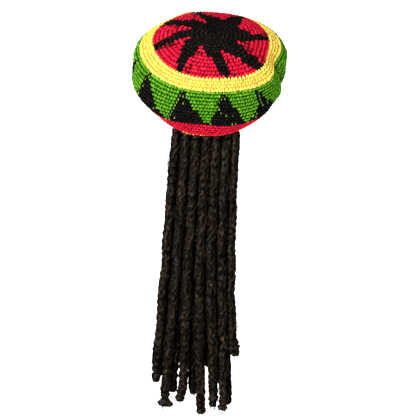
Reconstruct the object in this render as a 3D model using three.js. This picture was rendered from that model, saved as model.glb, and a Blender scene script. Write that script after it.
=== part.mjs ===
// A crocheted tam with locks of twisted fibre that hang from the back of its opening.
// Millimetres, +Z up. The origin is the centre of the head opening and +Y is the way the wearer faces.
// Azimuths are in degrees round +Z, counted from the back of the head (-Y) towards +X.
import * as THREE from "three";

// Driving sizes of the crocheted body
const WIDEST_RADIUS = 130;
const HAT_HEIGHT = 151;
const OPENING_RADIUS = 90;
const KNIT_THICKNESS = 4;
const SEAM_GAP = 0.3;
const AZIMUTH_STEPS = 90;

// Driving sizes of the weft, the strip that the locks are sewn to
const WEFT_THICKNESS = 5;
const WEFT_HEIGHT = 12;
const WEFT_DROP = 3;
const WEFT_OVERHANG = 3;
const WEFT_STEPS = 24;

// Driving sizes of the locks. The outer row is narrowed by the taper where it meets the weft. The inner
// row has thin roots that rise behind the weft. Both swell to full width over the same drop.
const LOCK_LENGTH = 578;
const LOCK_RADIUS = 7.9;
const LOCK_SIDE_GAP = 1.4;
const LOCK_ROW_GAP = 1;
const LOCK_ROOT_TAPER = 0.7;
const LOCK_ROOT_RADIUS = 3.6;
const LOCK_ROOT_RISE = 9;
const LOCK_TIP_RADIUS = 4.5;
const LOCK_INSET = 2;
const LOCK_SWELL = 22;
const LOCK_SIDES = 8;
const LOCK_STEPS = 9;

// Sections of the body from the crown's centre down to the opening. Radii to the sides, the back and
// the front are shares of the widest radius. Below the widest section they are shares of what that
// radius has over the opening's. Heights are shares of the body's height.
const SECTIONS = [
  { name: "centre", side: 0, back: 0, front: 0, height: 1 },
  { name: "hub", side: 0.2, back: 0.2, front: 0.192, height: 0.992 },
  { name: "disc", side: 0.4, back: 0.4, front: 0.37, height: 0.967 },
  { name: "arms", side: 0.592, back: 0.592, front: 0.538, height: 0.917 },
  { name: "crown_end", side: 0.762, back: 0.769, front: 0.669, height: 0.834 },
  { name: "round_end", side: 0.908, back: 0.908, front: 0.777, height: 0.738 },
  { name: "shoulder", side: 0.969, back: 0.938, front: 0.862, height: 0.669 },
  { name: "upper", side: 0.992, back: 0.954, front: 0.931, height: 0.57 },
  { name: "widest", side: 1, back: 0.954, front: 0.946, height: 0.45 },
  { name: "lower", side: 0.99, back: 0.8, front: 0.8, height: 0.325, tucked: true },
  { name: "side_end", side: 0.65, back: 0.71, front: 0.55, height: 0.205, tucked: true },
  { name: "fold", side: 0.175, back: 0.475, front: 0.25, height: 0.08, tucked: true },
  { name: "lip", side: 0.06, back: 0.16, front: 0.1, height: 0.02, tucked: true },
  { name: "opening", side: 0, back: 0, front: 0, height: 0, tucked: true },
];

// Bulges and dents of the soft body. Turn and span are how far each one reaches in degrees and in
// sections, out is a share of the widest radius and up a share of the height.
const DENTS = [
  { azimuth: 48, section: 4.7, turn: 30, span: 2, out: 0.092, up: -0.02 },
  { azimuth: 71.5, section: 5.3, turn: 12.3, span: 1.2, out: -0.087, up: 0 },
  { azimuth: 84, section: 8.1, turn: 12, span: 1.6, out: -0.1, up: 0 },
  { azimuth: 96, section: 7, turn: 10, span: 1.3, out: 0.03, up: 0 },
  { azimuth: -70, section: 4.3, turn: 35, span: 1, out: -0.031, up: 0 },
  { azimuth: -106, section: 5.4, turn: 22, span: 1.3, out: 0.014, up: 0 },
  { azimuth: -138, section: 5, turn: 24, span: 1.6, out: 0.014, up: 0 },
  { azimuth: 128, section: 5.2, turn: 24, span: 1.6, out: 0.034, up: 0 },
  { azimuth: 188, section: 3.2, turn: 32, span: 1.2, out: 0, up: 0.003 },
  { azimuth: 200, section: 4.5, turn: 16, span: 0.8, out: 0.02, up: 0.024 },
  { azimuth: 48, section: 9.4, turn: 12, span: 1, out: 0.016, up: 0 },
  { azimuth: 62, section: 9.1, turn: 9, span: 1, out: -0.04, up: 0 },
  { azimuth: 36, section: 11.2, turn: 14, span: 1, out: -0.02, up: 0 },
  { azimuth: -8, section: 10, turn: 24, span: 1, out: 0, up: 0.06 },
  { azimuth: -21, section: 12.5, turn: 9, span: 0.7, out: 0.022, up: 0 },
];

// Crocheted pieces by yarn, with the sections each one runs between.
const KNIT_PIECES = [
  { name: "crown", from: 0, to: 4.06, rows: 5, colour: 0xc8102e },
  { name: "yellow_round", from: 4.06, to: 5, rows: 2, colour: 0xfbdc4c },
  { name: "side_wall", from: 5, to: 10, rows: 6, colour: 0x4fa528 },
  { name: "red_band", from: 10, to: 12, rows: 4, colour: 0xd8102e },
  { name: "opening_edge", from: 12, to: 13, rows: 2, colour: 0xfbdc4c },
];

// Locks. Place counts lock pitches from the middle of the weft. Upper, middle, lower and tip are how
// far the lock has swayed towards +X at a fifth, a half, four fifths and the end of its own length,
// in pitches. Length is a share of the longest lock. Row 0 hangs outside, row 1 behind it.
const LOCKS = [
  { row: 0, place: -3.2, upper: -0.48, middle: -1.02, lower: -1.67, tip: -2.03, length: 0.91 },
  { row: 0, place: -2.06, upper: -0.39, middle: -0.99, lower: -1.7, tip: -2.18, length: 0.985 },
  { row: 0, place: -1, upper: -0.36, middle: -0.86, lower: -1.15, tip: -1.36, length: 0.958 },
  { row: 0, place: 0, upper: -0.33, middle: -0.68, lower: -0.68, tip: -0.5, length: 1 },
  { row: 0, place: 1, upper: -0.32, middle: -0.58, lower: -0.38, tip: -0.36, length: 0.973 },
  { row: 0, place: 2, upper: -0.31, middle: -0.52, lower: -0.3, tip: -0.28, length: 0.992 },
  { row: 0, place: 3, upper: -0.26, middle: -0.45, lower: -0.47, tip: -0.24, length: 0.803 },
  { row: 1, place: -2.5, upper: -0.42, middle: -1.02, lower: -1.72, tip: -2.06, length: 0.9 },
  { row: 1, place: -1.5, upper: -0.38, middle: -0.95, lower: -1.48, tip: -2.04, length: 0.95 },
  { row: 1, place: -0.5, upper: -0.35, middle: -0.78, lower: -0.98, tip: -0.9, length: 0.95 },
  { row: 1, place: 0.5, upper: -0.33, middle: -0.64, lower: -0.6, tip: -0.5, length: 0.845 },
  { row: 1, place: 1.5, upper: -0.31, middle: -0.56, lower: -0.52, tip: -0.44, length: 0.905 },
  { row: 1, place: 2.5, upper: -0.28, middle: -0.5, lower: -0.52, tip: -0.42, length: 1 },
];
const LOCK_STATIONS = [0, 0.2, 0.5, 0.8, 1];
const BUNDLE_AZIMUTH = -4;
const LOCK_ARC_RADIUS = OPENING_RADIUS - LOCK_INSET;
const LOCK_PITCH = 2 * LOCK_RADIUS + LOCK_SIDE_GAP;
const LOCK_ROW_DEPTH = 2 * LOCK_RADIUS + LOCK_ROW_GAP;
const WEFT_COLOUR = 0x17120f;
const LOCK_COLOUR = 0x1c1612;

const radians = THREE.MathUtils.degToRad;

// A smooth curve through evenly numbered values, read at place u.
function curve(values, u) {
  const last = values.length - 1;
  const i = Math.min(Math.max(Math.floor(u), 0), last - 1);
  const f = u - i;
  const at = (k) => values[Math.min(Math.max(k, 0), last)];
  const startSlope = (at(i + 1) - at(i - 1)) / 2;
  const endSlope = (at(i + 2) - at(i)) / 2;
  const start = (2 * f ** 3 - 3 * f ** 2 + 1) * at(i) + (f ** 3 - 2 * f ** 2 + f) * startSlope;
  return start + (3 * f ** 2 - 2 * f ** 3) * at(i + 1) + (f ** 3 - f ** 2) * endSlope;
}

function sectionRadius(section, key) {
  if (!section.tucked) return section[key] * WIDEST_RADIUS;
  return OPENING_RADIUS + section[key] * (WIDEST_RADIUS - OPENING_RADIUS);
}

const SIDE = SECTIONS.map((s) => sectionRadius(s, "side"));
const BACK = SECTIONS.map((s) => sectionRadius(s, "back"));
const FRONT = SECTIONS.map((s) => sectionRadius(s, "front"));
const HEIGHT = SECTIONS.map((s) => s.height * HAT_HEIGHT);

// A point of the body's outer surface.
function outerPoint(u, azimuth) {
  if (u <= 0) return new THREE.Vector3(0, 0, HAT_HEIGHT);
  const sine = Math.sin(radians(azimuth));
  const cosine = Math.cos(radians(azimuth));
  const along = curve(cosine > 0 ? BACK : FRONT, u);
  let radius = curve(SIDE, u) * sine ** 2 + along * cosine ** 2;
  let height = curve(HEIGHT, u);
  for (const dent of DENTS) {
    const turned = THREE.MathUtils.euclideanModulo(azimuth - dent.azimuth + 180, 360) - 180;
    const share = Math.exp(-((turned / dent.turn) ** 2) - ((u - dent.section) / dent.span) ** 2);
    radius += share * dent.out * WIDEST_RADIUS;
    height += share * dent.up * HAT_HEIGHT;
  }
  return new THREE.Vector3(radius * sine, -radius * cosine, height);
}

// The matching point of the inner surface, one thickness of knit behind it.
function innerPoint(u, azimuth) {
  const point = outerPoint(u, azimuth);
  if (u <= 0) return point.setZ(HAT_HEIGHT - KNIT_THICKNESS);
  const step = 0.01;
  const down = outerPoint(u + step, azimuth).sub(outerPoint(u - step, azimuth));
  const round = outerPoint(u, azimuth + 1).sub(outerPoint(u, azimuth - 1));
  return point.addScaledVector(down.cross(round).normalize(), -KNIT_THICKNESS);
}

// The section number that lies the given distance down the surface from a seam.
function besideSeam(u, azimuth, distance) {
  const step = 0.01;
  const speed = outerPoint(u + step, azimuth).distanceTo(outerPoint(u - step, azimuth)) / (2 * step);
  return u + distance / speed;
}

// One closed mesh through rings of points. The rings join end to end in a loop, or close on
// a first and a last ring that are single points.
function loft(rings, looped) {
  const positions = [];
  const starts = [];
  for (const ring of rings) {
    starts.push(positions.length / 3);
    for (const point of ring) positions.push(point.x, point.y, point.z);
  }
  const index = [];
  const pairs = looped ? rings.length : rings.length - 1;
  for (let r = 0; r < pairs; r += 1) {
    const next = (r + 1) % rings.length;
    const size = Math.max(rings[r].length, rings[next].length);
    const at = (ring, k) => starts[ring] + (rings[ring].length === 1 ? 0 : k % size);
    for (let k = 0; k < size; k += 1) {
      if (rings[r].length > 1) index.push(at(r, k), at(next, k), at(r, k + 1));
      if (rings[next].length > 1) index.push(at(r, k + 1), at(next, k), at(next, k + 1));
    }
  }
  const geometry = new THREE.BufferGeometry();
  geometry.setAttribute("position", new THREE.Float32BufferAttribute(positions, 3));
  geometry.setIndex(index);
  geometry.computeVertexNormals();
  return geometry;
}

function piece(name, geometry, colour, roughness) {
  const material = new THREE.MeshStandardMaterial({ color: colour, roughness, metalness: 0 });
  const mesh = new THREE.Mesh(geometry, material);
  mesh.name = name;
  return mesh;
}

function knitPiece({ name, from, to, rows, colour }) {
  const ring = (share, pointAt) =>
    Array.from({ length: AZIMUTH_STEPS }, (_, k) => {
      const azimuth = (360 * k) / AZIMUTH_STEPS;
      const start = from > 0 ? besideSeam(from, azimuth, SEAM_GAP / 2) : from;
      const end = to < SECTIONS.length - 1 ? besideSeam(to, azimuth, -SEAM_GAP / 2) : to;
      return pointAt(start + (end - start) * share, azimuth);
    });
  const shares = Array.from({ length: rows + 1 }, (_, k) => k / rows);
  if (from > 0) {
    const outer = shares.map((share) => ring(share, outerPoint));
    const inner = shares.toReversed().map((share) => ring(share, innerPoint));
    return piece(name, loft([...outer, ...inner], true), colour, 0.95);
  }
  const outer = shares.slice(1).map((share) => ring(share, outerPoint));
  const inner = shares.slice(1).toReversed().map((share) => ring(share, innerPoint));
  const rings = [[outerPoint(0, 0)], ...outer, ...inner, [innerPoint(0, 0)]];
  return piece(name, loft(rings, false), colour, 0.95);
}

// Azimuth of a place on an arc of the given radius, counted in lock pitches from its middle.
function rowAzimuth(place, radius) {
  return BUNDLE_AZIMUTH + THREE.MathUtils.radToDeg((place * LOCK_PITCH) / radius);
}

// A point at an azimuth from the back, at the height of the opening.
function backPoint(azimuth, radius) {
  return new THREE.Vector3(radius * Math.sin(radians(azimuth)), -radius * Math.cos(radians(azimuth)), 0);
}

const places = LOCKS.map((lock) => lock.place);
const WEFT_START = rowAzimuth(Math.min(...places) - WEFT_OVERHANG / LOCK_PITCH, LOCK_ARC_RADIUS);
const WEFT_END = rowAzimuth(Math.max(...places) + WEFT_OVERHANG / LOCK_PITCH, LOCK_ARC_RADIUS);
const weftAzimuths = Array.from({ length: WEFT_STEPS + 1 }, (_, k) =>
  THREE.MathUtils.lerp(WEFT_START, WEFT_END, k / WEFT_STEPS),
);

// The weft's outer face lies against the inner corner of the opening's edge.
function openingInside(azimuth) {
  const point = innerPoint(SECTIONS.length - 1, azimuth);
  return Math.hypot(point.x, point.y);
}

const WEFT_RADIUS = Math.min(...weftAzimuths.map(openingInside)) - SEAM_GAP;

function weft() {
  const corner = (azimuth, radius, z) => backPoint(azimuth, radius).setZ(z);
  const inside = WEFT_RADIUS - WEFT_THICKNESS;
  const top = WEFT_HEIGHT - WEFT_DROP;
  const rings = weftAzimuths.map((azimuth) => {
    return [
      corner(azimuth, WEFT_RADIUS, -WEFT_DROP),
      corner(azimuth, WEFT_RADIUS, top),
      corner(azimuth, inside, top),
      corner(azimuth, inside, -WEFT_DROP),
    ];
  });
  const middle = (ring) => [ring[0].clone().add(ring[2]).multiplyScalar(0.5)];
  const closed = [middle(rings[0]), ...rings, middle(rings[WEFT_STEPS])];
  return piece("weft", loft(closed, false), WEFT_COLOUR, 0.95);
}

// The middle of a lock at a drop below the weft. The inner row's roots have a negative drop.
function lockPoint(lock, drop) {
  const share = Math.max(drop, 0) / (lock.length * LOCK_LENGTH);
  const sways = [0, lock.upper, lock.middle, lock.lower, lock.tip];
  const next = LOCK_STATIONS.findIndex((station) => station >= share);
  const k = Math.max(next - 1, 0);
  const u = k + (share - LOCK_STATIONS[k]) / (LOCK_STATIONS[k + 1] - LOCK_STATIONS[k]);
  const settled = THREE.MathUtils.smoothstep(drop, 0, LOCK_SWELL);
  const behindWeft = WEFT_RADIUS - WEFT_THICKNESS - SEAM_GAP - LOCK_ROOT_RADIUS;
  const rowRadius = LOCK_ARC_RADIUS - lock.row * LOCK_ROW_DEPTH;
  const root = backPoint(rowAzimuth(lock.place, LOCK_ARC_RADIUS), lock.row ? behindWeft : LOCK_ARC_RADIUS);
  const middle = root.lerp(backPoint(rowAzimuth(lock.place, rowRadius), rowRadius), settled);
  return middle.add(new THREE.Vector3(curve(sways, u) * LOCK_PITCH, 0, -WEFT_DROP - SEAM_GAP - drop));
}

function lockRadius(lock, drop) {
  const left = lock.length * LOCK_LENGTH - drop;
  const settled = THREE.MathUtils.smoothstep(drop, 0, LOCK_SWELL);
  const root = lock.row ? LOCK_ROOT_RADIUS : LOCK_RADIUS - LOCK_ROOT_TAPER;
  const swollen = THREE.MathUtils.lerp(root, LOCK_RADIUS, settled ** 2);
  const narrowing = Math.sqrt(Math.min(left / (2 * LOCK_RADIUS), 1));
  return THREE.MathUtils.lerp(Math.min(LOCK_TIP_RADIUS, swollen), swollen, narrowing);
}

function lockMesh(lock, number) {
  const length = lock.length * LOCK_LENGTH;
  const rise = lock.row ? [-LOCK_ROOT_RISE] : [];
  const swell = [0, 0.25, 0.5, 0.75, 1].map((share) => share * LOCK_SWELL);
  const even = Array.from({ length: LOCK_STEPS }, (_, k) => (length * (k + 1)) / (LOCK_STEPS + 1));
  const drops = [...rise, ...swell, ...even, length - LOCK_RADIUS, length];
  const rings = drops.map((drop) => {
    const middle = lockPoint(lock, drop);
    const radius = lockRadius(lock, drop);
    return Array.from({ length: LOCK_SIDES }, (_, k) => {
      const angle = (2 * Math.PI * k) / LOCK_SIDES;
      return middle.clone().add(new THREE.Vector3(radius * Math.cos(angle), radius * Math.sin(angle), 0));
    });
  });
  const closed = [[lockPoint(lock, drops[0])], ...rings, [lockPoint(lock, length)]];
  return piece(`lock_${String(number).padStart(2, "0")}`, loft(closed, false), LOCK_COLOUR, 0.85);
}

const tam = new THREE.Group();
for (const knit of KNIT_PIECES) tam.add(knitPiece(knit));
tam.add(weft());
LOCKS.forEach((lock, k) => tam.add(lockMesh(lock, k + 1)));

export default tam;
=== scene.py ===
"""A crocheted tam with hanging locks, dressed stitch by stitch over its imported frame.

Metres, +Z up. The origin is the centre of the head opening and +Y is the way the wearer faces.
Azimuths are in degrees round +Z, counted from the back of the head (-Y) towards +X.
"""

import math

import bpy
import numpy as np
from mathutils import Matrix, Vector


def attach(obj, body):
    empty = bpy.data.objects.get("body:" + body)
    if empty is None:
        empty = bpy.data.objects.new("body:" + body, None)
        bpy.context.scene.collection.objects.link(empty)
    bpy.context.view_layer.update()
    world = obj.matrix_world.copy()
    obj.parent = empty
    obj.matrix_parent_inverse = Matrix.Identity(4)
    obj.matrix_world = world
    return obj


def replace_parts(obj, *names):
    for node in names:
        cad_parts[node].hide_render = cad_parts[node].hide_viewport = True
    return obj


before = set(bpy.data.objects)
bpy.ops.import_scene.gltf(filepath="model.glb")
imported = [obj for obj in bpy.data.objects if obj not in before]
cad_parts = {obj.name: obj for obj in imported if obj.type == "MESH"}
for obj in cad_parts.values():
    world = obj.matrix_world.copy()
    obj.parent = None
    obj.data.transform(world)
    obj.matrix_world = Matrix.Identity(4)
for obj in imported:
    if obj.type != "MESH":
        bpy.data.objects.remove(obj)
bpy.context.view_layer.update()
rng = np.random.default_rng(11)

# Driving sizes of the crocheted body, as in the frame
WIDEST_RADIUS = 0.130
HAT_HEIGHT = 0.151
OPENING_RADIUS = 0.090
KNIT_THICKNESS = 0.004

# Sections of the body, numbered from 0 at the crown's centre to 13 at the opening. From section 9
# on, radii are shares of what the widest radius has over the opening's.
SIDE = [0, 0.2, 0.4, 0.592, 0.762, 0.908, 0.969, 0.992, 1, 0.99, 0.65, 0.175, 0.06, 0]
BACK = [0, 0.2, 0.4, 0.592, 0.769, 0.908, 0.938, 0.954, 0.954, 0.8, 0.71, 0.475, 0.16, 0]
FRONT = [0, 0.192, 0.37, 0.538, 0.669, 0.777, 0.862, 0.931, 0.946, 0.8, 0.55, 0.25, 0.1, 0]
HEIGHT = [1, 0.992, 0.967, 0.917, 0.834, 0.738, 0.669, 0.57, 0.45, 0.325, 0.205, 0.08, 0.02, 0]
FIRST_TUCKED = 9
# Sections over which bulges grow from nothing at the crown's centre, and over which it is shifted
CENTRE_REACH = 0.2
SHIFT_REACH = 4

# Bulges and dents: azimuth, section, reach in degrees, reach in sections, out and up as shares.
DENTS = [
    (48, 4.7, 30, 2, 0.092, -0.02),
    (71.5, 5.3, 12.3, 1.2, -0.087, 0),
    (84, 8.1, 12, 1.6, -0.1, 0),
    (96, 7, 10, 1.3, 0.03, 0),
    (-70, 4.3, 35, 1, -0.031, 0),
    (-106, 5.4, 22, 1.3, 0.014, 0),
    (-138, 5, 24, 1.6, 0.014, 0),
    (128, 5.2, 24, 1.6, 0.034, 0),
    (188, 3.2, 32, 1.2, 0, 0.003),
    (200, 4.5, 16, 0.8, 0.02, 0.024),
    (48, 9.4, 12, 1, 0.016, 0),
    (62, 9.1, 9, 1, -0.04, 0),
    (36, 11.2, 14, 1, -0.02, 0),
    (-8, 10, 24, 1, 0, 0.06),
    (-21, 12.5, 9, 0.7, 0.022, 0),
]

# The sharp crease under the bulge on the +X side, in the same terms
CREASES = [
    (67, 5.5, 2, 0.4, -0.06, 0),
    (68, 6.2, 2, 0.5, -0.09, 0),
    (71, 6.9, 2, 0.5, -0.09, 0),
    (76, 7.5, 2.4, 0.5, -0.09, 0),
    (81, 8.1, 2.6, 0.5, -0.08, 0),
    (86, 8.7, 3, 0.5, -0.05, 0),
]

# How far the rounds' centre lies off the body's axis, across and along
CROWN_SHIFT = (0.004, -0.0085)

# Rounds of stitches: name, first section, last section, number of rounds.
ROUNDS = [
    ("crown", 0, 4.06, 14),
    ("yellow_round", 4.06, 5, 4),
    ("side_wall", 5, 10, 11),
    ("red_band", 10, 12, 6),
    ("opening_edge", 12, 13, 1),
]
# How finely the surface is sampled: degrees between azimuths and points down each piece
AZIMUTH_STEP = 3.0
PIECE_SAMPLES = 60
# Small steps that directions on the surface are read over, in degrees, sections and rounds
TURN_PROBE = 0.5
SECTION_PROBE = 0.02
LIFT_TURN_PROBE = 0.4
LIFT_ROUND_PROBE = 0.06
TINY = 1e-12

# Stitches: width, yarn thickness as a share of it, how deep a leg sits and how high it arches,
# the depth of the ground, the lean, and how far the yellow's edge stitches reach over their
# neighbours
STITCH_WIDTH = 0.0060
YARN_SHARE = 0.265
SEAT = -0.0032
ARCH = 0.0024
GROUND_DEPTH = 0.0030
LEAN = 0.34
EDGE_REACH = 0.34
# The fewest in a round, and how unevenly they are placed, in widths
FEWEST_STITCHES = 6
STITCH_JITTER = 0.04
# Flecks of carried yarn: degrees that they reach in from a border, and how often they show
FLECK_REACH = 2.7
STAR_FLECKS = 0.6
BORDER_FLECKS = 0.95
STRAY_FLECKS = 0.06

# Red wedges of the crown between the star's arms: the round where each one starts and its azimuth
# there, then its two borders in degrees at the middle round and at the crown's end.
WEDGES = [
    (4.6, -20.5, -28.5, 6, -28, 13.5),
    (4.9, 22.5, 19, 37.5, 19.5, 46.5),
    (5.6, 63, 55.2, 80.5, 56.8, 94),
    (6.2, 109, 94, 129, 101.5, 141.5),
    (6.4, 151, 147, 188, 144, 193),
    (5.0, 194, 199.5, 227, 199, 229.5),
    (5.1, 246.8, 242.5, 273, 235, 274.2),
    (5.4, 289.2, 286, 316.5, 283.5, 325),
]
WEDGE_MIDDLE = 9.5
WEDGE_END = 14

# Black triangles round the side: azimuth of each one's top, and where their feet meet
TRIANGLE_TOPS = [-57.8, -21.8, 10.2, 34.8, 108, 137, 168, 199, 234, 281]
TRIANGLE_FEET = [-82, -38, -2, 31.5, 66, 119, 151, 182, 214, 250, 271]
# How far, in degrees, the left border of each one bows towards +X
TRIANGLE_BOWS = [2.5, 0, 0, 6.3, 24, 0, 0, 0, 0, 0]
TRIANGLE_START = 17.7
TRIANGLE_FOOT = 28.9
TRIANGLE_TAPER = 1.12

YARNS = {
    "red": (0.69, 0.0055, 0.032),
    "yellow": (0.97, 0.75, 0.115),
    "green": (0.074, 0.285, 0.0055),
    "black": (0.0052, 0.0042, 0.0036),
}
# The painted shade deep between the stitches, as shares of the yarn's colour, and on the inner side
PAINTED_GROUND_SHADE = {
    "red": (0.30, 0.1, 0.4),
    "yellow": (0.90, 0.70, 0.5),
    "green": (0.06, 0.24, 0.1),
    "black": (0.5, 0.5, 0.5),
}
INNER_SHADE = 0.8
# The painted highlight, a paler tone on a stitch's crest
PAINTED_HIGHLIGHT = {
    "red": (0.92, 0.035, 0.08),
    "yellow": (1.0, 0.84, 0.22),
    "green": (0.26, 0.56, 0.035),
    "black": (0.022, 0.018, 0.016),
}
# The carried yarn that shows beside each change of colour
FLECKS = {"green": (0.15, 0.26, 0.045), "black": (0.006, 0.003, 0.003)}
# The painted shade at the ends of a fleck's legs, as shares of its colour
FLECK_PAINTED_SHADE = (0.6, 0.6, 0.6)
# The part of a stitch's leg that a fleck takes, how proud it stands and its thickness
FLECK_SHAPES = {"green": (0.6, 0.0008, 0.7), "black": (0.9, 0.0012, 0.85)}

# Locks and weft, as in the frame
LOCK_LENGTH = 0.578
LOCK_RADIUS = 0.0079
LOCK_ROOT_TAPER = 0.0007
LOCK_ROOT_RADIUS = 0.0036
LOCK_ROOT_RISE = 0.009
LOCK_TIP_RADIUS = 0.0045
LOCK_SWELL = 0.022
LOCK_PITCH = 2 * LOCK_RADIUS + 0.0014
LOCK_ROW_DEPTH = 2 * LOCK_RADIUS + 0.001
LOCK_ARC_RADIUS = OPENING_RADIUS - 0.002
BUNDLE_AZIMUTH = -4
WEFT_THICKNESS = 0.005
WEFT_HEIGHT = 0.012
WEFT_DROP = 0.003
WEFT_OVERHANG = 0.003
SEAM_GAP = 0.0003
# Each lock's row, its place along it, its sway at four stations in pitches, and its length share
LOCKS = [
    (0, -3.2, -0.48, -1.02, -1.67, -2.03, 0.91),
    (0, -2.06, -0.39, -0.99, -1.7, -2.18, 0.985),
    (0, -1, -0.36, -0.86, -1.15, -1.36, 0.958),
    (0, 0, -0.33, -0.68, -0.68, -0.5, 1),
    (0, 1, -0.32, -0.58, -0.38, -0.36, 0.973),
    (0, 2, -0.31, -0.52, -0.3, -0.28, 0.992),
    (0, 3, -0.26, -0.45, -0.47, -0.24, 0.803),
    (1, -2.5, -0.42, -1.02, -1.72, -2.06, 0.9),
    (1, -1.5, -0.38, -0.95, -1.48, -2.04, 0.95),
    (1, -0.5, -0.35, -0.78, -0.98, -0.9, 0.95),
    (1, 0.5, -0.33, -0.64, -0.6, -0.5, 0.845),
    (1, 1.5, -0.31, -0.56, -0.52, -0.44, 0.905),
    (1, 2.5, -0.28, -0.5, -0.52, -0.42, 1),
]
LOCK_STATIONS = [0, 0.2, 0.5, 0.8, 1]


def curve(values, u):
    """A smooth curve through evenly numbered values, read at the places u."""
    values = np.asarray(values, float)
    last = len(values) - 1
    i = np.clip(np.floor(u).astype(int), 0, last - 1)
    f = u - i
    before = values[np.clip(i - 1, 0, last)]
    start = values[i]
    end = values[np.clip(i + 1, 0, last)]
    after = values[np.clip(i + 2, 0, last)]
    rise = (2 * f**3 - 3 * f**2 + 1) * start + (f**3 - 2 * f**2 + f) * (end - before) / 2
    return rise + (3 * f**2 - 2 * f**3) * end + (f**3 - f**2) * (after - start) / 2


def radii(shares):
    body = [share * WIDEST_RADIUS for share in shares[:FIRST_TUCKED]]
    room = WIDEST_RADIUS - OPENING_RADIUS
    tucked = [OPENING_RADIUS + share * room for share in shares[FIRST_TUCKED:]]
    return body + tucked


def outer_point(u, azimuth):
    """Points of the body's outer surface."""
    sine = np.sin(np.radians(azimuth))
    cosine = np.cos(np.radians(azimuth))
    u = np.maximum(u, 0)
    along = np.where(cosine > 0, curve(radii(BACK), u), curve(radii(FRONT), u))
    radius = curve(radii(SIDE), u) * sine**2 + along * cosine**2
    height = curve(HEIGHT, u) * HAT_HEIGHT
    inside = np.clip(u / CENTRE_REACH, 0, 1)
    for at, section, turn, span, out, up in DENTS + CREASES:
        turned = np.mod(azimuth - at + 180, 360) - 180
        share = np.exp(-((turned / turn) ** 2) - ((u - section) / span) ** 2)
        radius = radius + share * out * WIDEST_RADIUS * inside
        height = height + share * up * HAT_HEIGHT
    shift = np.clip(1 - u / SHIFT_REACH, 0, 1) ** 2
    x = radius * sine + CROWN_SHIFT[0] * shift
    y = -radius * cosine + CROWN_SHIFT[1] * shift
    return np.stack([x, y, height], axis=-1)


AZIMUTHS = np.arange(0, 361, AZIMUTH_STEP)
ROUND_EDGES = []
for _, first, last, count in ROUNDS:
    fine = np.linspace(first, last, PIECE_SAMPLES)
    points = outer_point(fine[None, :], AZIMUTHS[:, None])
    steps = np.linalg.norm(np.diff(points, axis=1), axis=2)
    length = np.concatenate([np.zeros((len(AZIMUTHS), 1)), np.cumsum(steps, axis=1)], axis=1)
    shares = np.arange(count) / count
    for share in shares:
        ROUND_EDGES.append([np.interp(share * row[-1], row, fine) for row in length])
ROUND_EDGES.append([ROUNDS[-1][2]] * len(AZIMUTHS))
ROUND_EDGES = np.array(ROUND_EDGES)
LAST_ROUND = len(ROUND_EDGES) - 1
CROWN_ROUNDS = ROUNDS[0][3]
YELLOW_START = CROWN_ROUNDS
YELLOW_END = CROWN_ROUNDS + ROUNDS[1][3]


def section_at(azimuth, place):
    """The section number at a place counted in rounds from the crown's centre."""
    turned = np.mod(azimuth, 360) / AZIMUTH_STEP
    k = np.clip(turned.astype(int), 0, len(AZIMUTHS) - 2)
    side = turned - k
    place = np.clip(place, 0, LAST_ROUND)
    row = np.clip(place.astype(int), 0, LAST_ROUND - 1)
    f = place - row
    start = ROUND_EDGES[row, k] * (1 - side) + ROUND_EDGES[row, k + 1] * side
    end = ROUND_EDGES[row + 1, k] * (1 - side) + ROUND_EDGES[row + 1, k + 1] * side
    return start * (1 - f) + end * f


def body_point(azimuth, place):
    """Points of the outer surface, then round the rim, then back up the inner surface."""
    folded = np.where(place > LAST_ROUND + 1, 2 * LAST_ROUND + 1 - place, place)
    u = section_at(azimuth, folded)
    outside = outer_point(u, azimuth)
    down = outer_point(u + SECTION_PROBE, azimuth) - outer_point(u - SECTION_PROBE, azimuth)
    round_ = outer_point(u, azimuth + TURN_PROBE) - outer_point(u, azimuth - TURN_PROBE)
    normal = np.cross(down, round_)
    normal /= np.linalg.norm(normal, axis=-1, keepdims=True) + TINY
    down /= np.linalg.norm(down, axis=-1, keepdims=True) + TINY
    turn = (np.clip(place - LAST_ROUND, 0, 1) * math.pi)[..., None]
    half = KNIT_THICKNESS / 2
    return outside - normal * half * (1 - np.cos(turn)) + down * half * np.sin(turn)


def raised_point(azimuth, place, lift):
    """Points that stand the given height off the surface."""
    centre = body_point(azimuth, place)
    turn = LIFT_TURN_PROBE
    step = LIFT_ROUND_PROBE
    down = body_point(azimuth, place + step) - body_point(azimuth, place - step)
    round_ = body_point(azimuth + turn, place) - body_point(azimuth - turn, place)
    normal = np.cross(down, round_)
    normal /= np.linalg.norm(normal, axis=-1, keepdims=True) + TINY
    return centre + normal * lift[..., None]


def new_mesh(name, points, faces, uv=None, colour=None):
    """A mesh object from an array of points and an array of four-cornered faces."""
    mesh = bpy.data.meshes.new(name)
    mesh.vertices.add(len(points))
    mesh.vertices.foreach_set("co", np.ascontiguousarray(points, np.float32).ravel())
    mesh.loops.add(faces.size)
    mesh.loops.foreach_set("vertex_index", faces.ravel().astype(np.int32))
    mesh.polygons.add(len(faces))
    mesh.polygons.foreach_set("loop_start", np.arange(0, faces.size, faces.shape[1], dtype=np.int32))
    mesh.polygons.foreach_set("use_smooth", np.ones(len(faces), bool))
    if uv is not None:
        layer = mesh.uv_layers.new(name="yarn")
        layer.data.foreach_set("uv", uv.astype(np.float32).ravel())
    if colour is not None:
        attribute = mesh.color_attributes.new("yarn_colour", "FLOAT_COLOR", "POINT")
        rgba = np.concatenate([colour, np.ones((len(colour), 1))], axis=1)
        attribute.data.foreach_set("color", rgba.astype(np.float32).ravel())
    mesh.update()
    mesh.validate()
    obj = bpy.data.objects.new(name, mesh)
    bpy.context.scene.collection.objects.link(obj)
    return obj


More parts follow.
